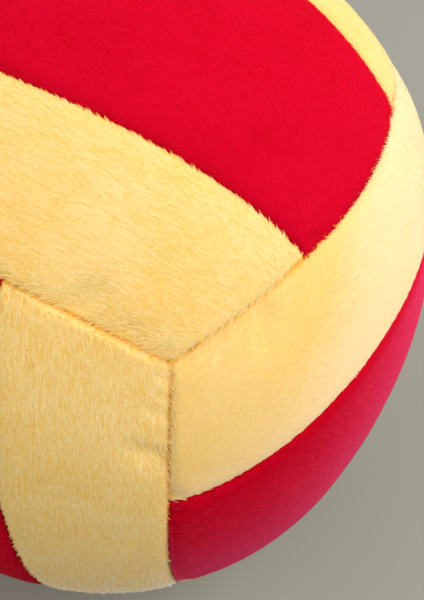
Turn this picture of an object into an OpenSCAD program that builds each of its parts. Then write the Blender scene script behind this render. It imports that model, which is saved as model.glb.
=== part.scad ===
// Stuffed plush juggling ball, cut like a volleyball.
//
// Six square faces of three strips each are sewn from short-pile plush: a wide middle strip
// between two narrow ones. The strips of neighbouring faces run at right angles, and the ends
// of the strips of each face bow out into the long side of the next face. All cloth edges are
// turned inwards as seam allowances, every seam has its own line of thread, and the cavity is
// filled with polyester fibre. One seam is closed by hand after stuffing.
//
// Frame: millimetres, +Z up, origin at the centre of the ball. The six faces look along the
// axes. Strips of the top and bottom faces run along X, those of the right and left faces
// along Y, and those of the back and front faces along Z.

/* [Ball] */
// Size across opposite faces
face_d = 182; // [120:1:240]
// How much further the cube corners of the ball reach from its centre than the faces
corner_rise = 5; // [1:0.5:8]

/* [Cut of the cloth] */
// Width of the middle strip half-way along it, measured over the surface
middle_w = 66; // [56:1:72]
// Width of the middle strip at its ends, measured straight across
middle_end_w = 50; // [40:1:56]
// How far the strip ends bow out past the edge of the face
end_bow = 7; // [3:0.5:10]

/* [Plush] */
// Thickness of the plush, backing and pile together
plush_t = 3.2; // [2:0.1:5]
// Thickness of the cloth where the pile is pressed flat in a seam
seam_t = 1.5; // [0.8:0.1:2.5]
// Depth of the seam allowance below the inside of the plush
seam_depth = 6; // [4:0.5:10]

/* [Thread] */
// Diameter of the machine sewing thread
thread_d = 0.5; // [0.3:0.1:0.8]
// Diameter of the doubled hand-sewing thread
hand_thread_d = 0.8; // [0.5:0.1:1]
// Room around a thread in the cloth
thread_gap = 0.1; // [0.05:0.05:0.2]
// Distance that each line of machine stitches stops short of a corner
thread_end_gap = 3; // [2:0.5:6]
// Diameter of the knots at the ends of the hand sewing
knot_d = 2; // [1.5:0.1:3]
// Length of the opening that is closed by hand
opening_l = 60; // [40:1:80]
// Space between the last machine stitch and the knot of the hand sewing
opening_gap = 2; // [1:0.5:4]

/* [Stuffing] */
// Air left between the stuffing and the cloth
stuffing_gap = 0.3; // [0.2:0.1:0.6]

/* [Hidden] */
$fn = 96;

// Faces in pairs: the cyclic turn about the cube diagonal takes Z to X and then to Y
FACES = ["top", "bottom", "right", "left", "back", "front"];
// Sides of each face, in the direction across its strips: low side, middle, high side
SIDES = [
    ["front", "middle", "back"],
    ["back", "middle", "front"],
    ["lower", "middle", "upper"],
    ["upper", "middle", "lower"],
    ["left", "middle", "right"],
    ["right", "middle", "left"]
];
// The face that lies beyond the +X end and the -X end of each face's strips
ENDS = [
    ["right", "left"],
    ["right", "left"],
    ["back", "front"],
    ["back", "front"],
    ["top", "bottom"],
    ["top", "bottom"]
];
LOW = 0;
MIDDLE = 1;
HIGH = 2;
// The seam that is left open for stuffing and then closed by hand
OPEN_FACE = 1;
OPEN_SIDE = LOW;

function panel_name(face, side) = str(FACES[face], "_", SIDES[face][side], "_panel");
function strip_thread_name(face, side) = str(FACES[face], "_", SIDES[face][side], "_strip_thread");
function end_thread_name(face, end) = str(FACES[face], "_", ENDS[face][end], "_seam_thread");

YELLOW = [0.96, 0.80, 0.38];
RED = [0.78, 0.02, 0.12];
THREAD_YELLOW = [0.90, 0.70, 0.25];
FIBRE_WHITE = [0.95, 0.95, 0.93];

// Angle in degrees of a length along a circle
function turn_of(length, radius) = length / radius * 180 / PI;

// Each face is a spherical cap, flatter than the ball, so that the cube corners stand out.
// The cap's own centre lies cap_sink past the centre of the ball.
face_r = face_d / 2;
corner_r = face_r + corner_rise;
corner = corner_r / sqrt(3);
cap_sink = (corner_r ^ 2 - face_r ^ 2) / (2 * (face_r - corner));
cap_r = face_r + cap_sink;
edge_r = sqrt(cap_r ^ 2 - (cap_sink * sin(45)) ^ 2) - cap_sink * cos(45);

// Seams at the strip ends: each lies in a plane through two cube corners and the middle of the
// bowed edge. The plane leans by end_lean and passes the centre of the ball at end_offset.
end_mid = 45 + turn_of(end_bow, edge_r);
end_lean = atan((edge_r * cos(end_mid) - corner) / (edge_r * sin(end_mid) - corner));
end_offset = corner * (cos(end_lean) - sin(end_lean));
end_height = end_offset + cap_sink * cos(end_lean);
end_shift = -cap_sink * sin(end_lean);

// Strip seams: each lies in a plane through its own middle and both its ends. The points are
// given as the distance across the strips and the height above the centre of the ball.
mid_across = cap_r * sin(turn_of(middle_w / 2, cap_r));
mid_up = cap_r * cos(turn_of(middle_w / 2, cap_r)) - cap_sink;
tip_across = middle_end_w / 2;
tip_run = sqrt(cap_r ^ 2 - tip_across ^ 2 - end_height ^ 2) + end_shift;
tip_along = tip_run * cos(end_lean) - end_offset * sin(end_lean);
tip_up = tip_run * sin(end_lean) + end_offset * cos(end_lean);
side_lean = atan((mid_across - tip_across) / (mid_up - tip_up));
side_offset = mid_across * cos(side_lean) - mid_up * sin(side_lean);
side_height = side_offset - cap_sink * sin(side_lean);
side_shift = -cap_sink * cos(side_lean);

// Inside of the plush, and how far in the seam allowances reach
inner_r = cap_r - plush_t;
allowance_r = inner_r - seam_depth;

// Threads lie where the backings of two panels meet
end_thread_r = sqrt(inner_r ^ 2 - end_height ^ 2);
side_thread_r = sqrt(inner_r ^ 2 - side_height ^ 2);
end_arc = atan(corner / (corner * (cos(end_lean) + sin(end_lean)) - end_shift))
    - turn_of(thread_end_gap, end_thread_r);
side_arc = atan(tip_along / (tip_across * sin(side_lean) + tip_up * cos(side_lean) - side_shift))
    - turn_of(thread_end_gap, side_thread_r);
opening_arc = turn_of(opening_l / 2, side_thread_r);

// Larger than the ball from any seam
reach = 2 * corner_r;
// How far the stuffing's pads sink into its core
pad_root = 3;

// Turns one face's own frame, with Z outwards and X along its strips, to its place
module place(face) {
    rotate(a = 120 * floor(face / 2), v = [1, 1, 1])
        rotate([180 * (face % 2), 0, 0])
            children();
}

// Frames that lie in a seam: the seam is an arc about Z, and X points at its middle.
// Z points towards the panel that the seam ends, or towards the outer strip.
module at_end(dir) {
    rotate([0, 0, 90 - 90 * dir])
        rotate([0, -end_lean, 0])
            translate([end_shift, 0, end_offset])
                children();
}

module at_side(dir) {
    rotate([0, 0, 90 * dir])
        rotate([0, 90 + side_lean, 0])
            rotate([0, 0, 180])
                translate([side_shift, 0, side_offset])
                    children();
}

// Seam at the strip ends of the next face, which bow into this face's long side
module at_neighbour(dir) {
    rotate([0, 0, 90 * dir])
        rotate([0, 90 + end_lean, 0])
            rotate([0, 0, 180])
                translate([end_shift, 0, end_offset])
                    children();
}

// Everything on the Z side of a seam, less a margin
module beyond(margin) {
    translate([-reach, -reach, margin])
        cube(2 * reach);
}

// Space between the four seams of a middle strip, less a margin
module middle_space(margin) {
    difference() {
        intersection() {
            at_end(1) beyond(margin);
            at_end(-1) beyond(margin);
        }
        at_side(1) beyond(-margin);
        at_side(-1) beyond(-margin);
    }
}

// Space between the four seams of an outer strip, less a margin
module outer_space(dir, margin) {
    difference() {
        intersection() {
            at_end(1) beyond(margin);
            at_end(-1) beyond(margin);
            at_side(dir) beyond(margin);
        }
        at_neighbour(dir) beyond(-margin);
    }
}

// Ball that a face's cap is a part of
module cap(radius) {
    translate([0, 0, -cap_sink])
        sphere(r = radius);
}

// What lies inside one panel's seams and under a given cap
module under_cap(side, margin, radius) {
    intersection() {
        cap(radius);
        if (side == MIDDLE) {
            middle_space(margin);
        } else {
            outer_space(side - MIDDLE, margin);
        }
    }
}

// Round line in a seam frame, from -half to half about X
module seam_line(radius, half, thickness) {
    rotate([0, 0, -half])
        rotate_extrude(angle = 2 * half)
            translate([radius, 0])
                circle(d = thickness);
}

// Machine-sewn line along a seam at the strip ends, with a gap all round it
module end_line(gap) {
    seam_line(end_thread_r, end_arc + turn_of(gap, end_thread_r), thread_d + 2 * gap);
}

// Machine-sewn line along a strip seam, which stops on both sides of the hand-sewn opening
module strip_line(opened, gap) {
    half = side_arc + turn_of(gap, side_thread_r);
    open_half = opening_arc + turn_of(knot_d / 2 + opening_gap - gap, side_thread_r);
    if (opened) {
        for (dir = [-1, 1]) {
            rotate([0, 0, dir * (half + open_half) / 2])
                seam_line(side_thread_r, (half - open_half) / 2, thread_d + 2 * gap);
        }
    } else {
        seam_line(side_thread_r, half, thread_d + 2 * gap);
    }
}

// The hand-sewn line in its seam frame, with a knot at each end
module hand_line(gap) {
    seam_line(side_thread_r, opening_arc, hand_thread_d + 2 * gap);
    for (dir = [-1, 1]) {
        rotate([0, 0, dir * opening_arc])
            translate([side_thread_r, 0, 0])
                sphere(d = knot_d + 2 * gap);
    }
}

// True for the strip seam on that side of that face, if it is the one closed by hand
function hand_sewn(face, side) = face == OPEN_FACE && side == OPEN_SIDE;

// One strip of plush with its seam allowances turned in
module panel(face, side) {
    color(side == MIDDLE ? RED : YELLOW)
        place(face)
            difference() {
                under_cap(side, 0, cap_r);
                under_cap(side, seam_t, inner_r);
                cap(allowance_r);
                for (dir = [-1, 1]) {
                    at_end(dir) end_line(thread_gap);
                    if (side == MIDDLE || side - MIDDLE == dir) {
                        at_side(dir) strip_line(hand_sewn(face, MIDDLE + dir), thread_gap);
                        if (hand_sewn(face, MIDDLE + dir)) {
                            at_side(dir) hand_line(thread_gap);
                        }
                    }
                }
                if (side != MIDDLE) {
                    at_neighbour(side - MIDDLE) end_line(thread_gap);
                }
            }
}

// Machine thread between a face's middle strip and an outer strip
module strip_thread(face, side) {
    color(THREAD_YELLOW)
        place(face)
            at_side(side - MIDDLE)
                strip_line(hand_sewn(face, side), 0);
}

// Machine thread along the ends of a face's strips
module end_thread(face, end) {
    color(THREAD_YELLOW)
        place(face)
            at_end(1 - 2 * end)
                end_line(0);
}

// Doubled thread of the ladder stitches, drawn tight
module closing_thread() {
    color(THREAD_YELLOW)
        place(OPEN_FACE)
            at_side(OPEN_SIDE - MIDDLE)
                hand_line(0);
}

// Polyester fibre: a core, and a pad that fills each panel between its seam allowances
module stuffing() {
    color(FIBRE_WHITE)
        union() {
            intersection() {
                place(0) cap(allowance_r - stuffing_gap);
                place(1) cap(allowance_r - stuffing_gap);
                place(2) cap(allowance_r - stuffing_gap);
                place(3) cap(allowance_r - stuffing_gap);
                place(4) cap(allowance_r - stuffing_gap);
                place(5) cap(allowance_r - stuffing_gap);
            }
            for (face = [0 : 5], side = [LOW : HIGH]) {
                place(face)
                    difference() {
                        under_cap(side, seam_t + stuffing_gap, inner_r - stuffing_gap);
                        cap(allowance_r - pad_root);
                    }
            }
        }
}

for (face = [0 : 5], side = [LOW : HIGH])
    panel(face, side);
for (face = [0 : 5], side = [LOW, HIGH])
    strip_thread(face, side);
for (face = [0 : 5], end = [0, 1])
    end_thread(face, end);
closing_thread();
stuffing();
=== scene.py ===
# %% [markdown]
# # A soft plush ball of eighteen panels
# The real ball is sewn from short-pile plush cut like a volleyball: six square faces of three strips,
# each face turned a quarter from its neighbours, with two yellow strips outside and a red one between
# them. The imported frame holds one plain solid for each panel, thread and the filling. This script keeps
# their places and dresses them: puffed skins, nap, seam creases, pile, thread and stuffing.

# %% Load the frame
import math

import bmesh
import bpy
import numpy as np
from mathutils import Matrix, Vector, noise


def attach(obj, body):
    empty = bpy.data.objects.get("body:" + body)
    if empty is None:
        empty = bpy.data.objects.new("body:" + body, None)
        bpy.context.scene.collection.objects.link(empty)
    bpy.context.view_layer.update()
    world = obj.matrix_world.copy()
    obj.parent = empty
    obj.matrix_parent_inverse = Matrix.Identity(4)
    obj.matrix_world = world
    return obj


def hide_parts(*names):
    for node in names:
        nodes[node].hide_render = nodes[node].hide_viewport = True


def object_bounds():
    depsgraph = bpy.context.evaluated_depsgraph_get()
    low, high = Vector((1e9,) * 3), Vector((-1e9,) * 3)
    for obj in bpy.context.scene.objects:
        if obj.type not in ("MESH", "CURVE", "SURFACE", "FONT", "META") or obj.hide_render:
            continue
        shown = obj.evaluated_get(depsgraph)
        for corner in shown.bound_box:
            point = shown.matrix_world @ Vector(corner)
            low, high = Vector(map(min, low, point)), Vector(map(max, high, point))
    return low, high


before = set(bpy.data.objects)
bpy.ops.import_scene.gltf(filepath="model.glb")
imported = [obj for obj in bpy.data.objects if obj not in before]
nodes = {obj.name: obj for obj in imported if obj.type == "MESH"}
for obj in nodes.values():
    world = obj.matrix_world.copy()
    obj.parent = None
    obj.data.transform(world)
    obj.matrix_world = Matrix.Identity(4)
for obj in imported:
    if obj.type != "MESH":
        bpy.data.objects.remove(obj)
cad_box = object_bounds()
MM = 0.001
print("CAD box", [round(c, 4) for corner in cad_box for c in corner])

# %% [markdown]
# ## Camera
# A close view looks down on the corner where two strips and a third meet, from the front and a little to
# the right. The lens and the camera's place are fixed first, because the lights are set round the camera.
# The place is given in ball radii, so that it follows the frame if the ball is made larger.

# %% Place the camera
FACE_R = cad_box[1].z
SENSOR = 36.0
LENS = 43.8
NEAREST = 0.01
ROLL = math.radians(-1.11)
CAMERA_AT = Vector((1.0194, -1.2548, 1.8161)) * FACE_R
AZIMUTH, ELEVATION = math.radians(26.75), math.radians(52.53)


def camera_frame(azimuth, elevation, roll):
    back = Vector((math.sin(azimuth) * math.cos(elevation), -math.cos(azimuth) * math.cos(elevation),
                   math.sin(elevation)))
    right = Vector((math.cos(azimuth), math.sin(azimuth), 0))
    up = back.cross(right)
    turn = Matrix((right, up, back)).transposed()
    return turn @ Matrix.Rotation(-roll, 3, "Z")


camera_turn = camera_frame(AZIMUTH, ELEVATION, ROLL)
camera_data = bpy.data.cameras.new("camera")
camera_data.lens, camera_data.sensor_width = LENS, SENSOR
camera_data.clip_start = NEAREST
camera = bpy.data.objects.new("camera", camera_data)
camera.matrix_world = Matrix.Translation(CAMERA_AT) @ camera_turn.to_4x4()
bpy.context.scene.collection.objects.link(camera)
bpy.context.scene.camera = camera
print("camera", [round(c, 4) for c in camera.location])

# %% [markdown]
# ## Floor and light
# A plain pale floor under the ball and one big soft lamp high on the right give the bright, nearly
# shadowless look of a studio table. A weaker lamp and a pale surround keep the lower left from going
# dark.

# %% Make the floor and the lamps
scene = bpy.context.scene
scene.view_settings.view_transform = "Standard"
FLOOR_SIDE, FLOOR_GAP = 40.0, 0.5 * MM
FLOOR_COLOUR, FLOOR_ROUGHNESS = (0.262, 0.260, 0.227), 0.85
KEY_LAMP = {"place": (0.62, 0.30, 0.78), "size": 0.7, "power": 9.1, "colour": (1.0, 0.985, 0.96)}
FILL_LAMP = {"place": (-0.60, -0.70, 0.75), "size": 0.9, "power": 2.4, "colour": (1.0, 0.99, 0.97)}
SURROUND, SURROUND_STRENGTH = (1.0, 0.985, 0.955, 1), 0.75


def link(obj):
    scene.collection.objects.link(obj)
    return obj


def plain_material(name, colour, roughness):
    material = bpy.data.materials.new(name)
    material.use_nodes = True
    shader = material.node_tree.nodes["Principled BSDF"]
    shader.inputs["Base Color"].default_value = (*colour, 1)
    shader.inputs["Roughness"].default_value = roughness
    return material


def area_lamp(name, place, size, power, colour):
    lamp = bpy.data.lights.new(name, "AREA")
    lamp.shape, lamp.size = "DISK", size
    lamp.energy, lamp.color = power, colour
    obj = link(bpy.data.objects.new(name, lamp))
    obj.location = place
    obj.rotation_euler = (-Vector(place)).to_track_quat("-Z", "Y").to_euler()
    return obj


floor_mesh = bpy.data.meshes.new("floor")
bm = bmesh.new()
bmesh.ops.create_grid(bm, x_segments=1, y_segments=1, size=FLOOR_SIDE / 2)
bmesh.ops.translate(bm, verts=bm.verts, vec=(0, 0, cad_box[0].z - FLOOR_GAP))
bm.to_mesh(floor_mesh)
bm.free()
floor = link(bpy.data.objects.new("floor", floor_mesh))
floor_mesh.materials.append(plain_material("pale_table", FLOOR_COLOUR, FLOOR_ROUGHNESS))
area_lamp("key_lamp", **KEY_LAMP)
area_lamp("fill_lamp", **FILL_LAMP)
scene.world = bpy.data.worlds.new("studio")
scene.world.use_nodes = True
background = scene.world.node_tree.nodes["Background"]
background.inputs["Color"].default_value = SURROUND
background.inputs["Strength"].default_value = SURROUND_STRENGTH
print("floor", FLOOR_SIDE, "m wide, with a key lamp, a fill lamp and a pale surround")

# %% [markdown]
# ## The lie of the seams
# Each face has its own frame: Z points out, X runs along its strips and Y across them. A seam is a bowed
# line of directions from the ball's centre. The ends of a face's strips bow outward past the edge of the
# square, and they push the long side of the next face inward by as much. The two seams inside a face
# pinch towards its middle. The same three curves bound all the panels, so neighbours always meet.

# %% Seam curves, as directions in a face's own frame
CORNER_R = max(v.co.length for name in nodes if name.endswith("panel") for v in nodes[name].data.vertices)
FACE_SUM, CORNER_SUM, MEAN_SUM = 1.0, 1 / 3, 0.6
BALL_R = ((MEAN_SUM - CORNER_SUM) * FACE_R + (FACE_SUM - MEAN_SUM) * CORNER_R) / (FACE_SUM - CORNER_SUM)
SQUARENESS = (CORNER_R - FACE_R) / BALL_R / (FACE_SUM - CORNER_SUM)
END_BOW, END_BOW_SHARP = 0.200, -0.049
STRIP_END, STRIP_MIDDLE, STRIP_WAIST = 0.4140, 0.3731, -0.0555
print("face, corner and mean radius", round(FACE_R, 4), round(CORNER_R, 4), round(BALL_R, 4))


def reach(s):
    """How far a strip's end reaches at the place s across its face, where 1 is the square's edge."""
    return 1 + END_BOW * (1 - s**2) + END_BOW_SHARP * (1 - s**4)


def waist(s):
    """Half the middle strip's width at the place s along it."""
    return STRIP_MIDDLE + (STRIP_END - STRIP_MIDDLE) * s**2 + STRIP_WAIST * (s**2 - s**4)


def unit(v):
    return v / np.linalg.norm(v, axis=-1, keepdims=True)


def strip_seam(s, side):
    return unit(np.stack([s * reach(STRIP_END), side * waist(s), np.ones_like(s)], -1))


def long_seam(s):
    return unit(np.stack([s, np.ones_like(s), reach(s)], -1))


def end_seam(y, end):
    return unit(np.stack([end * reach(y), y, np.ones_like(y)], -1))


def skin_radius(direction):
    """The ball is slightly square: nearer at the middles of its faces than at its corners."""
    return BALL_R * (1 - SQUARENESS * ((direction**4).sum(-1) - MEAN_SUM))


# %% [markdown]
# ## Panel blanks
# A blank is a grid stretched between its four seams, with its cells crowded towards them, because the
# cloth turns sharply there. Only two blanks exist, an outer strip and a middle one. All eighteen panels
# are copies of those two, turned about the ball.

# %% Stretch a grid between four seams
CROWD = 0.62
CELLS_ALONG = 46
CELLS_ACROSS = {"outer": 14, "middle": 20}
SEAM_SINK = 0.015
THREAD_GAP = 0.05 * MM
HALF_ALONG = 82 * MM
HALF_ACROSS = {"outer": 27 * MM, "middle": 32 * MM}
LAY = "lay"
ON_EDGE = 1 - 1e-5


def crowded(t):
    """Moves evenly spaced places towards the two ends of -1 to 1."""
    return t + CROWD * np.sin(np.pi * t) / np.pi


def panel_directions(kind, u, v):
    """Unit directions at the places u along and v across a panel: a patch blended between its four seams."""
    low, high = ((STRIP_END, 1.0) if kind == "outer" else (-STRIP_END, STRIP_END))
    near = strip_seam(u, 1 if kind == "outer" else -1)
    far = long_seam(u) if kind == "outer" else strip_seam(u, 1)
    y = low + (high - low) * (v + 1) / 2
    left, right = end_seam(y, -1), end_seam(y, 1)
    a, b = ((u + 1) / 2)[:, None], ((v + 1) / 2)[:, None]
    corner = {(i, j): end_seam(np.array([(low, high)[j]]), (-1, 1)[i]) for i in (0, 1) for j in (0, 1)}
    flat = ((1 - a) * (1 - b) * corner[0, 0] + a * (1 - b) * corner[1, 0]
            + (1 - a) * b * corner[0, 1] + a * b * corner[1, 1])
    return unit((1 - b) * near + b * far + (1 - a) * left + a * right - flat)


def read_points(mesh):
    co = np.empty(len(mesh.vertices) * 3)
    mesh.vertices.foreach_get("co", co)
    return co.reshape(-1, 3)


def write_points(mesh, points):
    mesh.vertices.foreach_set("co", np.ascontiguousarray(points, dtype=np.float32).ravel())
    mesh.update()


def store(mesh, name, values):
    """Keeps a number or a vector for each vertex, for the materials and the pile to read."""
    kind = "FLOAT_VECTOR" if values.ndim == 2 else "FLOAT"
    attribute = mesh.attributes.get(name) or mesh.attributes.new(name, kind, "POINT")
    field = "vector" if values.ndim == 2 else "value"
    attribute.data.foreach_set(field, np.ascontiguousarray(values, dtype=np.float32).ravel())


def blank(kind):
    mesh = bpy.data.meshes.new(kind + "_blank")
    bm = bmesh.new()
    bmesh.ops.create_grid(bm, x_segments=CELLS_ALONG, y_segments=CELLS_ACROSS[kind], size=1)
    bm.to_mesh(mesh)
    bm.free()
    flat = read_points(mesh)
    u, v = (crowded(flat[:, axis]) for axis in (0, 1))
    inside = (1 - THREAD_GAP / HALF_ALONG, 1 - THREAD_GAP / HALF_ACROSS[kind])
    direction = panel_directions(kind, u * inside[0], v * inside[1])
    write_points(mesh, direction * skin_radius(direction)[:, None] * (1 - SEAM_SINK))
    lay = np.stack([u * HALF_ALONG, v * HALF_ACROSS[kind], np.zeros_like(u)], -1)
    store(mesh, LAY, lay)
    obj = link(bpy.data.objects.new(kind + "_blank", mesh))
    edge = np.flatnonzero(np.abs(flat[:, :2]).max(1) > ON_EDGE)
    obj.vertex_groups.new(name="seam").add([int(i) for i in edge], 1.0, "REPLACE")
    return obj


# %% [markdown]
# ## Filling the panels
# On the real ball the filling pushes each strip of cloth outward, and the seams hold its edges. Cloth
# simulation does the same: the blank's edge is pinned, the cloth is cut a little full, and pressure from
# inside swells it. The solver gives the shape of the swelling. The moves are then scaled to bring the
# cloth out to the frame's surface, and capped.

# %% Swell a blank with the cloth solver
PRESSURE = 4.0
CUT_FULL = -0.004
CLOTH_FRAMES = 20
MOVE_CAP = 4 * MM
CLOTH = {
    "quality": 8, "mass": 0.15, "tension_stiffness": 12, "compression_stiffness": 12,
    "bending_stiffness": 5, "shrink_min": CUT_FULL, "use_pressure": True, "uniform_pressure_force": PRESSURE,
}
FULL_SHARE = 90


def swell(obj):
    start = read_points(obj.data)
    outward = unit(start)
    target = (skin_radius(outward) - np.linalg.norm(start, axis=1)).max()
    cloth = obj.modifiers.new("filling", "CLOTH")
    for setting, value in CLOTH.items():
        setattr(cloth.settings, setting, value)
    cloth.settings.vertex_group_mass = "seam"
    cloth.settings.effector_weights.gravity = 0
    cloth.point_cache.frame_start, cloth.point_cache.frame_end = 1, CLOTH_FRAMES
    for step in range(1, CLOTH_FRAMES + 1):
        scene.frame_set(step)
    settled = bpy.data.meshes.new_from_object(obj.evaluated_get(bpy.context.evaluated_depsgraph_get()))
    move = read_points(settled) - start
    lift = (move * outward).sum(1)
    print(obj.name, "swelled by", round(float(np.median(lift)) / MM, 2), "mm, at most",
          round(float(lift.max()) / MM, 2), "mm")
    move *= target / np.percentile(lift, FULL_SHARE)
    length = np.linalg.norm(move, axis=1, keepdims=True)
    move *= np.minimum(1, MOVE_CAP / np.maximum(length, 1e-9))
    obj.modifiers.remove(cloth)
    write_points(obj.data, start + move)
    bpy.data.meshes.remove(settled)
    scene.frame_set(1)


blanks = {kind: blank(kind) for kind in ("outer", "middle")}
for obj in blanks.values():
    swell(obj)

# %% [markdown]
# ## From blank to skin
# Two rounds of subdivision make the swollen blank fine enough to bend at the seams. Each vertex then
# learns its lay: how far it is along the strip, across it, and from the nearest seam. The nap, the crease
# and the pile all follow those three numbers, as on real cloth, where the pile lies one way.

# %% Refine the blanks and measure the lay
SUBDIVISIONS = 2


def refined(obj):
    subdivide = obj.modifiers.new("refine", "SUBSURF")
    subdivide.levels = subdivide.render_levels = SUBDIVISIONS
    mesh = bpy.data.meshes.new_from_object(obj.evaluated_get(bpy.context.evaluated_depsgraph_get()))
    obj.modifiers.remove(subdivide)
    return mesh


def border_segments(mesh):
    bm = bmesh.new()
    bm.from_mesh(mesh)
    ends = np.array([[v.co[:] for v in e.verts] for e in bm.edges if e.is_boundary])
    bm.free()
    return ends[:, 0], ends[:, 1]


def seam_distance(points, mesh):
    """Distance to the nearest seam, and the direction straight across that seam, away from the panel."""
    a, b = border_segments(mesh)
    middle, outward = points.mean(0), unit(points)
    best, across = np.full(len(points), 1e9), np.zeros_like(points)
    for start, end in zip(a, b):
        along = end - start
        t = np.clip(((points - start) @ along) / (along @ along), 0, 1)
        distance = np.linalg.norm(start + t[:, None] * along - points, axis=1)
        nearer = distance < best
        over = np.cross(along, outward[nearer])
        best[nearer] = distance[nearer]
        across[nearer] = over * np.sign(over @ (start - middle))[:, None]
    return best, unit(across)


fine = {}
for kind, obj in blanks.items():
    mesh = refined(obj)
    points = read_points(mesh)
    lay = np.empty(len(points) * 3)
    mesh.attributes[LAY].data.foreach_get("vector", lay)
    lay = lay.reshape(-1, 3)
    lay[:, 2], across = seam_distance(points, mesh)
    fine[kind] = {"mesh": mesh, "points": points, "lay": lay, "across": across, "lining": obj.data}
    print(kind, len(points), "points, widest", round(2 * lay[:, 2].max() / MM, 1), "mm")

# %% [markdown]
# ## Plush
# Plush is a knitted backing with a short pile that lies one way. Close up it shows as strokes a third of
# a millimetre wide and one or two long, parted into soft patches where hands have brushed it. A shader
# node group holds that nap once. The yellow and the red plush each place it with their own values.

# %% The nap, as a node group both fabrics share
def named_group(name, sockets):
    group = bpy.data.node_groups.new(name, "ShaderNodeTree")
    for label, kind, direction, value in sockets:
        socket = group.interface.new_socket(label, in_out=direction, socket_type=kind)
        if value is not None:
            socket.default_value = value
    return group, group.nodes.new("NodeGroupInput"), group.nodes.new("NodeGroupOutput")


class Wiring:
    """Short ways to add and join the nodes of one tree."""

    def __init__(self, tree):
        self.tree = tree

    def add(self, kind, values=None, **settings):
        node = self.tree.nodes.new(kind)
        for key, value in settings.items():
            setattr(node, key, value)
        for key, value in (values or {}).items():
            if isinstance(value, bpy.types.NodeSocket):
                self.tree.links.new(value, node.inputs[key])
            else:
                node.inputs[key].default_value = value
        return node

    def math(self, operation, a, b=0.0, c=0.0):
        return self.add("ShaderNodeMath", {0: a, 1: b, 2: c}, operation=operation).outputs[0]

    def vector(self, operation, a, b):
        return self.add("ShaderNodeVectorMath", {0: a, 1: b}, operation=operation).outputs[0]

    def noise(self, place, scale, detail=2.0, roughness=0.5):
        values = {"Vector": place, "Scale": scale, "Detail": detail, "Roughness": roughness}
        return self.add("ShaderNodeTexNoise", values)

    def ramp(self, value, low, high):
        """0 below low, 1 above high, and smooth between them."""
        values = {"Value": value, "From Min": low, "From Max": high}
        return self.add("ShaderNodeMapRange", values, interpolation_type="SMOOTHSTEP").outputs[0]

    def mix(self, factor, a, b):
        return self.add("ShaderNodeMix", {0: factor, 6: a, 7: b}, data_type="RGBA").outputs[2]


STROKE_LENGTH, STROKE_WIDTH, RELIEF = 1.4 * MM, 0.32 * MM, 0.2 * MM
SWAY_PER_M, SWAY = 70.0, (4 * MM, 5 * MM, 0.0)
PATCHES_PER_M, GRAINS_PER_M = 55.0, 2200.0
CREASE_SHADE_FROM, CREASE_SHADE_TO = 0.9 * MM, 0.1 * MM
SMOOTH_BELOW = 0.5
PANEL_SPREAD = 90.0


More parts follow.
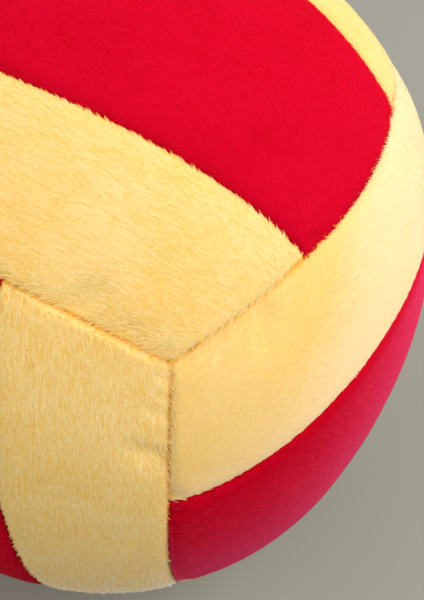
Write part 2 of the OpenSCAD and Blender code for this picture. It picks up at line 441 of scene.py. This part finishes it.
def nap_group():
    """Strokes along the lay, patches and grain, tinted lock by lock, and a deeper, warmer painted shade down
    in the creases.
    """
    group, given, out = named_group("plush_nap", [
        ("Colour", "NodeSocketColor", "INPUT", None), ("Tip Colour", "NodeSocketColor", "INPUT", None),
        ("Root Colour", "NodeSocketColor", "INPUT", None),
        ("Crease Colour", "NodeSocketColor", "INPUT", None),
        ("Stroke Length", "NodeSocketFloat", "INPUT", STROKE_LENGTH),
        ("Stroke Width", "NodeSocketFloat", "INPUT", STROKE_WIDTH),
        ("Contrast", "NodeSocketFloat", "INPUT", 0.5), ("Relief", "NodeSocketFloat", "INPUT", RELIEF),
        ("Colour", "NodeSocketColor", "OUTPUT", None), ("Roughness", "NodeSocketFloat", "OUTPUT", None),
        ("Normal", "NodeSocketVector", "OUTPUT", None), ("Smooth", "NodeSocketFloat", "OUTPUT", None)])
    w = Wiring(group)
    tip, root = given.outputs["Tip Colour"], given.outputs["Root Colour"]
    place = w.add("ShaderNodeTexCoord").outputs["Object"]
    lay = w.add("ShaderNodeAttribute", attribute_name=LAY).outputs["Vector"]
    brush = w.add("ShaderNodeAttribute", attribute_name="brush").outputs["Fac"]
    tint = w.add("ShaderNodeAttribute", attribute_name="tint").outputs["Fac"]
    smooth = w.ramp(brush, SMOOTH_BELOW, 0.0)

    sway = w.vector("SUBTRACT", w.noise(place, SWAY_PER_M).outputs["Color"], (0.5, 0.5, 0.5))
    lie = w.vector("ADD", lay, w.vector("MULTIPLY", sway, SWAY))
    part = w.add("ShaderNodeSeparateXYZ", {0: lie})
    along = w.math("DIVIDE", part.outputs[0], given.outputs["Stroke Length"])
    over = w.math("DIVIDE", part.outputs[1], given.outputs["Stroke Width"])
    spread = w.math("MULTIPLY", brush, PANEL_SPREAD)
    stroke_at = w.add("ShaderNodeCombineXYZ", {0: along, 1: over, 2: spread}).outputs[0]
    strokes = w.noise(stroke_at, 1.0, 2.0, 0.55).outputs["Fac"]
    locks = w.noise(stroke_at, 0.38, 1.0).outputs["Fac"]
    height = w.math("MULTIPLY_ADD", strokes, 0.62, w.math("MULTIPLY", locks, 0.38))
    patches = w.noise(place, PATCHES_PER_M, 2.0, 0.6).outputs["Fac"]
    grain = w.noise(place, GRAINS_PER_M, 1.0).outputs["Fac"]
    # Painted shade: within about a millimetre of a seam the colour turns deeper and warmer. It stands for
    # the crease's shade and the light bounced between its walls.
    crease_shade = w.ramp(w.add("ShaderNodeSeparateXYZ", {0: lay}).outputs[2], CREASE_SHADE_FROM, CREASE_SHADE_TO)

    strength = w.math("MULTIPLY", given.outputs["Contrast"], w.math("MULTIPLY_ADD", brush, 0.75, 0.25))
    fabric = w.mix(w.math("MULTIPLY", w.ramp(patches, 0.40, 0.68), 0.35), given.outputs["Colour"], tip)
    fabric = w.mix(w.math("MULTIPLY", w.ramp(patches, 0.48, 0.30), 0.30), fabric, root)
    fabric = w.mix(w.math("MULTIPLY", w.ramp(grain, 0.55, 0.75), 0.6), fabric, tip)
    fabric = w.mix(w.math("MULTIPLY", w.ramp(grain, 0.45, 0.25), 0.6), fabric, root)
    # Painted shade: the lock tints and the strokes turn partly towards the root colour. That colour is
    # partly the pile's own deeper tone and partly painted shade deep in the pile, because the locks cast no
    # shadow.
    fabric = w.mix(w.math("MULTIPLY", w.ramp(tint, 0.5, 1.0), strength), fabric, tip)
    fabric = w.mix(w.math("MULTIPLY", w.ramp(tint, 0.5, 0.0), strength), fabric, root)
    fabric = w.mix(w.math("MULTIPLY", w.ramp(height, 0.46, 0.68), strength), fabric, tip)
    fabric = w.mix(w.math("MULTIPLY", w.ramp(height, 0.50, 0.32), strength), fabric, root)
    # Smooth pile turns a little further towards the root colour. This is partly the look of pile lying flat
    # and partly painted shade.
    fabric = w.mix(w.math("MULTIPLY", smooth, 0.3), fabric, root)
    fabric = w.mix(w.math("MULTIPLY", crease_shade, 0.9), fabric, given.outputs["Crease Colour"])

    rough = w.math("MULTIPLY_ADD", height, -0.15, 0.95)
    relief = w.math("MULTIPLY", given.outputs["Relief"], w.math("MULTIPLY_ADD", brush, 0.7, 0.3))
    bump = w.add("ShaderNodeBump", {"Strength": 1.0, "Distance": relief, "Height": height}).outputs[0]
    for label, value in (("Colour", fabric), ("Roughness", rough), ("Normal", bump), ("Smooth", smooth)):
        group.links.new(value, out.inputs[label])
    return group


NAP = nap_group()
print("nap group with", len(NAP.nodes), "nodes")

# %% The yellow and the red plush
THROUGH = 0.12
SPREAD, SPREAD_REACH = 0.35, 1.5 * MM
DULL = 0.03
# Each fabric's root colour is partly painted shade deep in the pile, and its crease colour is painted shade
# down in the seams. Its pale side colour, with the facing range where it shows, is a painted sheen.
YELLOW = {
    "colour": (0.79, 0.575, 0.19), "tip": (0.83, 0.66, 0.34), "root": (0.79, 0.48, 0.08),
    "crease_shade": (0.80, 0.40, 0.02), "contrast": 0.55, "sheen": 0.6, "sheen_roughness": 0.40,
    "sheen_tint": (0.97, 0.95, 0.95), "painted_sheen": (0.86, 0.72, 0.52), "painted_sheen_edge": (0.24, 0.50),
}
RED = {
    "colour": (0.54, 0.0005, 0.015), "tip": (0.60, 0.001, 0.026), "root": (0.48, 0.0005, 0.010),
    "crease_shade": (0.42, 0.0005, 0.008), "contrast": 0.40, "sheen": 0.2, "sheen_roughness": 0.22,
    "sheen_tint": (1.0, 0.20, 0.40), "painted_sheen": (0.85, 0.05, 0.16), "painted_sheen_edge": (0.42, 1.05),
}


def plush(name, cloth, backing):
    """Pile has the whole sheen and lets some light through. The backing under it has no sheen and
    spreads light inside itself. Where the pile lies smooth, both get a painted sheen: a paler colour where
    they are seen from the side."""
    material = bpy.data.materials.new(name)
    material.use_nodes = True
    w = Wiring(material.node_tree)
    nap = w.add("ShaderNodeGroup", node_tree=NAP)
    for label, part in (("Colour", "colour"), ("Tip Colour", "tip"), ("Root Colour", "root"),
                        ("Crease Colour", "crease_shade")):
        nap.inputs[label].default_value = (*cloth[part], 1)
    nap.inputs["Contrast"].default_value = cloth["contrast"]
    shader = material.node_tree.nodes["Principled BSDF"]
    # Painted sheen: a paler colour is mixed in where smooth pile is seen from the side.
    facing = w.add("ShaderNodeLayerWeight", {"Blend": 0.5}).outputs["Facing"]
    painted_sheen_share = w.math("MULTIPLY", nap.outputs["Smooth"], w.ramp(facing, *cloth["painted_sheen_edge"]))
    fabric = w.mix(painted_sheen_share, nap.outputs["Colour"], (*cloth["painted_sheen"], 1))
    joins = [(fabric, "Base Color"), (nap.outputs["Roughness"], "Roughness")]
    for value, socket in joins + [(nap.outputs["Normal"], "Normal")] * backing:
        material.node_tree.links.new(value, shader.inputs[socket])
    shader.inputs["Specular IOR Level"].default_value = DULL
    shader.inputs["Sheen Weight"].default_value = 0.0 if backing else cloth["sheen"]
    shader.inputs["Sheen Roughness"].default_value = cloth["sheen_roughness"]
    shader.inputs["Sheen Tint"].default_value = (*cloth["sheen_tint"], 1)
    if backing:
        shader.inputs["Subsurface Weight"].default_value = SPREAD
        shader.inputs["Subsurface Scale"].default_value = SPREAD_REACH
        strongest = max(cloth["colour"])
        shader.inputs["Subsurface Radius"].default_value = [part / strongest for part in cloth["colour"]]
    else:
        glow = w.add("ShaderNodeBsdfTranslucent", {"Color": (*cloth["tip"], 1)})
        both = w.add("ShaderNodeMixShader", {0: THROUGH, 1: shader.outputs[0], 2: glow.outputs[0]})
        material.node_tree.links.new(both.outputs[0], material.node_tree.nodes["Material Output"].inputs[0])
    return material


CLOTHS = {"yellow_plush": YELLOW, "red_plush": RED}
FABRICS = {slot: plush(slot, cloth, backing=True) for slot, cloth in CLOTHS.items()}
PILE_FABRICS = {slot: plush(slot.replace("plush", "pile"), cloth, backing=False)
                for slot, cloth in CLOTHS.items()}
print("fabrics", [m.name for group in (FABRICS, PILE_FABRICS) for m in group.values()])

# %% [markdown]
# ## Panel skins
# A finished panel is a closed quilt: the swollen top, rolled down into the seam at its edge, and a thin
# lining under it that rests on the filling. The top gets its own shallow dents, different on each panel,
# because stuffing is never even. The edge wavers a little where the pile puffs over the seam.

# %% Turn a blank into one panel of the ball
CREASE_W, CREASE_D = 1.1 * MM, 0.5 * MM
LINING = 2.2 * MM
DENTS = ((20 * MM, 0.35 * MM), (9 * MM, 0.07 * MM))
FIRM_EDGE = 9 * MM
CREASE_WANDER, CREASE_WANDER_SIZE = 0.2, 4 * MM
RED_BRUSHED, PANEL_STEP = 0.5, 0.004
# A low value lays a panel's pile smooth, which also brings in the painted sheen and a little painted shade.
BRUSHED = {"top": 0.95, "bottom": 0.7, "right": 0.2, "left": 0.4, "back": 0.7, "front": 1.4}
FACES = {
    "top": ("front", "back"), "bottom": ("back", "front"), "right": ("lower", "upper"),
    "left": ("upper", "lower"), "back": ("left", "right"), "front": ("right", "left"),
}


def face_turn(number):
    """From a face's own frame to the ball's: the faces lie in pairs about the ball's long diagonal."""
    around = Matrix.Rotation(math.radians(120 * (number // 2)), 3, Vector((1, 1, 1)))
    return around @ Matrix.Rotation(math.radians(180 * (number % 2)), 3, "X")


def wander(points, size, seed):
    """Smooth noise between -1 and 1, one value for each point."""
    shift = Vector((seed * 3.7, seed * 1.3, seed * 2.1))
    return np.array([noise.noise(Vector(p) / size + shift) for p in points])


def dented(points, lay, seed):
    """Presses shallow dents into a panel and rolls its edge down into the seam."""
    outward = unit(points)
    away = np.clip(lay[:, 2] / FIRM_EDGE, 0, 1) ** 0.5
    sink = sum(depth * wander(points, size, seed) for size, depth in DENTS) * away
    width = CREASE_W * (1 + CREASE_WANDER * wander(points, CREASE_WANDER_SIZE, seed + 5))
    near = np.clip(1 - lay[:, 2] / width, 0, 1)
    sink = sink + CREASE_D * (1 - np.sqrt(np.maximum(0, 1 - near**2)))
    return points - outward * sink[:, None]


def quilt(name, top, lining):
    """Joins a panel's top and its lining at their borders into one closed skin."""
    bm = bmesh.new()
    bm.from_mesh(top)
    bm.from_mesh(lining)
    bmesh.ops.bridge_loops(bm, edges=[e for e in bm.edges if e.is_boundary])
    bmesh.ops.triangulate(bm, faces=[f for f in bm.faces if len(f.verts) > 4])
    bmesh.ops.recalc_face_normals(bm, faces=bm.faces)
    left_open = sum(e.is_boundary for e in bm.edges)
    mesh = bpy.data.meshes.new(name)
    bm.to_mesh(mesh)
    bm.free()
    mesh.shade_smooth()
    return mesh, left_open


PANELS = {}
for number, (face, sides) in enumerate(FACES.items()):
    for side, label in ((-1, sides[0]), (0, "middle"), (1, sides[1])):
        kind = "outer" if side else "middle"
        seed = number * 3 + side + 2
        turn = np.array(face_turn(number) @ Matrix.Rotation(math.pi if side < 0 else 0, 3, "Z"))
        shape = fine[kind]
        top, lining = shape["mesh"].copy(), shape["lining"].copy()
        points = dented(shape["points"] @ turn.T, shape["lay"], seed)
        write_points(top, points)
        under = read_points(lining) @ turn.T
        write_points(lining, under - unit(under) * (CREASE_D + LINING))
        node = f"{face}_{label}_panel"
        mesh, left_open = quilt(node + "_skin", top, lining)
        obj = link(bpy.data.objects.new(node + "_skin", mesh))
        pad = np.zeros((len(under), 3))
        lay = np.concatenate([shape["lay"], pad])
        store(mesh, LAY, lay)
        brushed = BRUSHED[face] * (1 if side else RED_BRUSHED) + PANEL_STEP * seed
        store(mesh, "brush", np.full(len(lay), brushed))
        store(mesh, "tint", np.full(len(lay), 0.5))
        across = np.concatenate([shape["across"] @ turn.T, pad])
        PANELS[node] = {"obj": obj, "turn": turn, "lay": lay, "across": across, "seed": seed,
                        "top": len(shape["points"]), "fabric": "yellow_plush" if side else "red_plush"}
        mesh.materials.clear()
        mesh.materials.append(FABRICS[PANELS[node]["fabric"]])
        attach(obj, "root")
        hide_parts(node)
        for old in (top, lining):
            bpy.data.meshes.remove(old)
        if left_open:
            print(node, "left", left_open, "edges open")
print(len(PANELS), "panel skins")

# %% Clear the blanks away
for obj in blanks.values():
    bpy.data.objects.remove(obj)
print("blanks removed, the panels keep their shape")

# %% [markdown]
# ## Pile
# The pile itself is real geometry: short tapered locks, about a fifth of a millimetre wide, that lie
# along the strip. They are scattered by geometry nodes, which is quick and can be made again exactly.
# Near a seam the locks stand up and lean over it. They lean furthest where a stitch pulls the backing
# down, so yellow tufts cross onto the red at the pitch of the stitches. Each lock stands for many hairs
# with light passing between them, so locks cast no shadow, and they are lit as if they faced straight out
# from the ball.

# %% One lock of pile
LOCK_W, LOCK_L, LOCK_BEND = 0.18 * MM, 1.5 * MM, 0.10
LOCK_SPREAD = (0.65, 1.25)


def lock_object():
    mesh = bpy.data.meshes.new("pile_lock")
    bm = bmesh.new()
    bmesh.ops.create_grid(bm, x_segments=1, y_segments=2, size=0.5)
    bmesh.ops.rotate(bm, verts=bm.verts, cent=(0, 0, 0), matrix=Matrix.Rotation(-math.pi / 2, 3, "X"))
    bmesh.ops.translate(bm, verts=bm.verts, vec=(0, 0, 0.5))
    tip = [v for v in bm.verts if v.co.z > 0.9]
    bmesh.ops.pointmerge(bm, verts=tip, merge_co=(0, -LOCK_BEND, 1))
    bmesh.ops.triangulate(bm, faces=bm.faces)
    bm.to_mesh(mesh)
    bm.free()
    mesh.shade_smooth()
    return link(bpy.data.objects.new("pile_lock", mesh))


LOCK = lock_object()
print("a lock has", len(LOCK.data.polygons), "faces")

# %% Where the pile grows and which way it leans
LIFT, LEAN, LEAN_REACH = 0.11, 1.0, 1.0 * MM
STITCH = 3.0 * MM
STITCH_SHARP, LEAN_ALL, LEAN_LIFT = 3, 0.25, 0.3
ALONG_END_SEAM = 0.7
SEAM_COVER, SEAM_COVER_REACH = 1.2, 2 * MM


def combed(panel, mesh):
    """The way each lock points: along the strip, a little upward, and over the seam beside a stitch."""
    outward = np.empty(len(mesh.vertices) * 3)
    mesh.vertex_normals.foreach_get("vector", outward)
    outward = outward.reshape(-1, 3)
    strip = np.tile(panel["turn"][:, 0], (len(outward), 1))
    strip = unit(strip - outward * (strip * outward).sum(1, keepdims=True))
    lay, across = panel["lay"], panel["across"]
    at_end = np.abs((strip * across).sum(1)) > ALONG_END_SEAM
    run = np.where(at_end, lay[:, 1], lay[:, 0])
    stitch = np.maximum(0, np.cos(2 * np.pi * run / STITCH)) ** STITCH_SHARP
    lean = LEAN * np.exp(-lay[:, 2] / LEAN_REACH) * (LEAN_ALL + stitch)
    return unit(strip + across * lean[:, None] + outward * (LIFT + LEAN_LIFT * lean[:, None]))


def cover(panel):
    """How thickly the pile grows: more beside the seams, and none on the lining."""
    grown = 1 + SEAM_COVER * np.exp(-panel["lay"][:, 2] / SEAM_COVER_REACH)
    grown[panel["top"]:] = 0
    return grown


# %% Scatter the locks with geometry nodes
DENSITY = 3.0e6
STRAY = 0.17


def pile_tree():
    """Points on the skin, a lock on each, combed and turned to face outward, with its own size and tint."""
    tree = bpy.data.node_groups.new("pile", "GeometryNodeTree")
    for direction in ("INPUT", "OUTPUT"):
        tree.interface.new_socket("Geometry", in_out=direction, socket_type="NodeSocketGeometry")
    w = Wiring(tree)
    given, out = w.add("NodeGroupInput"), w.add("NodeGroupOutput")
    grown = w.add("GeometryNodeInputNamedAttribute", {"Name": "cover"}, data_type="FLOAT").outputs[0]
    comb = w.add("GeometryNodeInputNamedAttribute", {"Name": "comb"}, data_type="FLOAT_VECTOR").outputs[0]
    scatter = w.add("GeometryNodeDistributePointsOnFaces",
                    {"Mesh": given.outputs[0], "Density": w.math("MULTIPLY", grown, DENSITY)})
    chance = w.add("FunctionNodeRandomValue", data_type="FLOAT").outputs[1]
    tinted = w.add("GeometryNodeStoreNamedAttribute", {"Geometry": scatter.outputs["Points"], "Name": "tint",
                                                       "Value": chance}, data_type="FLOAT").outputs[0]
    brush = w.add("GeometryNodeInputNamedAttribute", {"Name": "brush"}, data_type="FLOAT").outputs[0]
    astray = {0: (-STRAY,) * 3, 1: (STRAY,) * 3}
    stray = w.add("FunctionNodeRandomValue", astray, data_type="FLOAT_VECTOR").outputs[0]
    stray = w.vector("MULTIPLY", stray, brush)
    aim = w.add("FunctionNodeAlignRotationToVector", {"Vector": w.vector("ADD", comb, stray)}, axis="Z")
    outward = w.add("GeometryNodeInputPosition").outputs[0]
    lie = w.add("FunctionNodeAlignRotationToVector",
                {"Rotation": aim.outputs[0], "Vector": outward}, axis="Y", pivot_axis="Z")
    small, large = ([f * LOCK_W, f * LOCK_L, f * LOCK_L] for f in LOCK_SPREAD)
    size = w.add("FunctionNodeRandomValue", {0: small, 1: large}, data_type="FLOAT_VECTOR").outputs[0]
    lock = w.add("GeometryNodeObjectInfo", {"Object": LOCK}).outputs["Geometry"]
    grow = w.add("GeometryNodeInstanceOnPoints", {"Points": tinted, "Instance": lock,
                                                  "Rotation": lie.outputs[0], "Scale": size})
    whole = w.add("GeometryNodeRealizeInstances", {0: grow.outputs[0]})
    tree.links.new(whole.outputs[0], out.inputs[0])
    return tree, scatter


PILE, SCATTER = pile_tree()
PILE_TRIS = 0
for node, panel in PANELS.items():
    obj = panel["obj"]
    store(obj.data, "comb", combed(panel, obj.data))
    store(obj.data, "cover", cover(panel))
    SCATTER.inputs["Seed"].default_value = panel["seed"]
    growth = obj.modifiers.new("pile", "NODES")
    growth.node_group = PILE
    mesh = bpy.data.meshes.new_from_object(obj.evaluated_get(bpy.context.evaluated_depsgraph_get()))
    obj.modifiers.remove(growth)
    pile = link(bpy.data.objects.new(node.replace("panel", "pile"), mesh))
    pile.visible_shadow = False
    mesh.name = pile.name
    mesh.normals_split_custom_set_from_vertices(unit(read_points(mesh)))
    mesh.materials.clear()
    mesh.materials.append(PILE_FABRICS[panel["fabric"]])
    PILE_TRIS += len(mesh.polygons)
    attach(pile, "root")
bpy.data.objects.remove(LOCK)
print("pile faces", PILE_TRIS)

# %% [markdown]
# ## Thread and filling
# The seams are sewn with a polyester thread that stays hidden down in the creases. Inside is loose fibre
# filling. Both are the frame's own parts, whose shapes are right, so they only get finishes here: fine
# stripes of painted shade stand for the grooves between the thread's plies, and soft white clumps for
# the tangled filling.

# %% Finish the thread and the filling
THREAD_COLOURS, THREAD_ROUGHNESS = ((0.80, 0.52, 0.14), (0.66, 0.40, 0.08)), 0.6
PLY_PER_M, UNEVEN_PER_M, PLY_RELIEF = 900.0, 400.0, 0.05 * MM
FIBRE_COLOURS, FIBRE_ROUGHNESS = ((0.72, 0.70, 0.66), (0.90, 0.89, 0.87)), 0.95
CLUMPS_PER_M, CLUMP_RELIEF = 120.0, 1.5 * MM


def thread_material(name, colour, shade):
    material = plain_material(name, colour, THREAD_ROUGHNESS)
    w = Wiring(material.node_tree)
    place = w.add("ShaderNodeTexCoord").outputs["Object"]
    ply = w.add("ShaderNodeTexWave", {"Vector": place, "Scale": PLY_PER_M, "Distortion": 2.0, "Detail": 1.0})
    uneven = w.noise(place, UNEVEN_PER_M).outputs["Fac"]
    # Painted shade: the thread turns darker along the ply stripes, broken up unevenly by a noise, for the
    # shade in the grooves between the plies.
    both = w.math("MULTIPLY", ply.outputs["Fac"], uneven)
    shader = material.node_tree.nodes["Principled BSDF"]
    bump = w.add("ShaderNodeBump", {"Distance": PLY_RELIEF, "Height": ply.outputs["Fac"]}).outputs[0]
    material.node_tree.links.new(w.mix(both, (*colour, 1), (*shade, 1)), shader.inputs["Base Color"])
    material.node_tree.links.new(bump, shader.inputs["Normal"])
    return material


def filling_material(name, shade, light):
    material = plain_material(name, light, FIBRE_ROUGHNESS)
    w = Wiring(material.node_tree)
    place = w.add("ShaderNodeTexCoord").outputs["Object"]
    clumps = w.noise(place, CLUMPS_PER_M, 5.0, 0.65).outputs["Fac"]
    shader = material.node_tree.nodes["Principled BSDF"]
    colour = w.mix(w.ramp(clumps, 0.3, 0.7), (*shade, 1), (*light, 1))
    bump = w.add("ShaderNodeBump", {"Distance": CLUMP_RELIEF, "Height": clumps}).outputs[0]
    material.node_tree.links.new(colour, shader.inputs["Base Color"])
    material.node_tree.links.new(bump, shader.inputs["Normal"])
    return material


THREAD = thread_material("sewing_thread", *THREAD_COLOURS)
FILLING = filling_material("fibre_filling", *FIBRE_COLOURS)
for name, obj in nodes.items():
    if name not in PANELS:
        obj.data.materials.clear()
        obj.data.materials.append(FILLING if name == "stuffing" else THREAD)
print("finished", len(nodes) - len(PANELS), "threads and fillings")
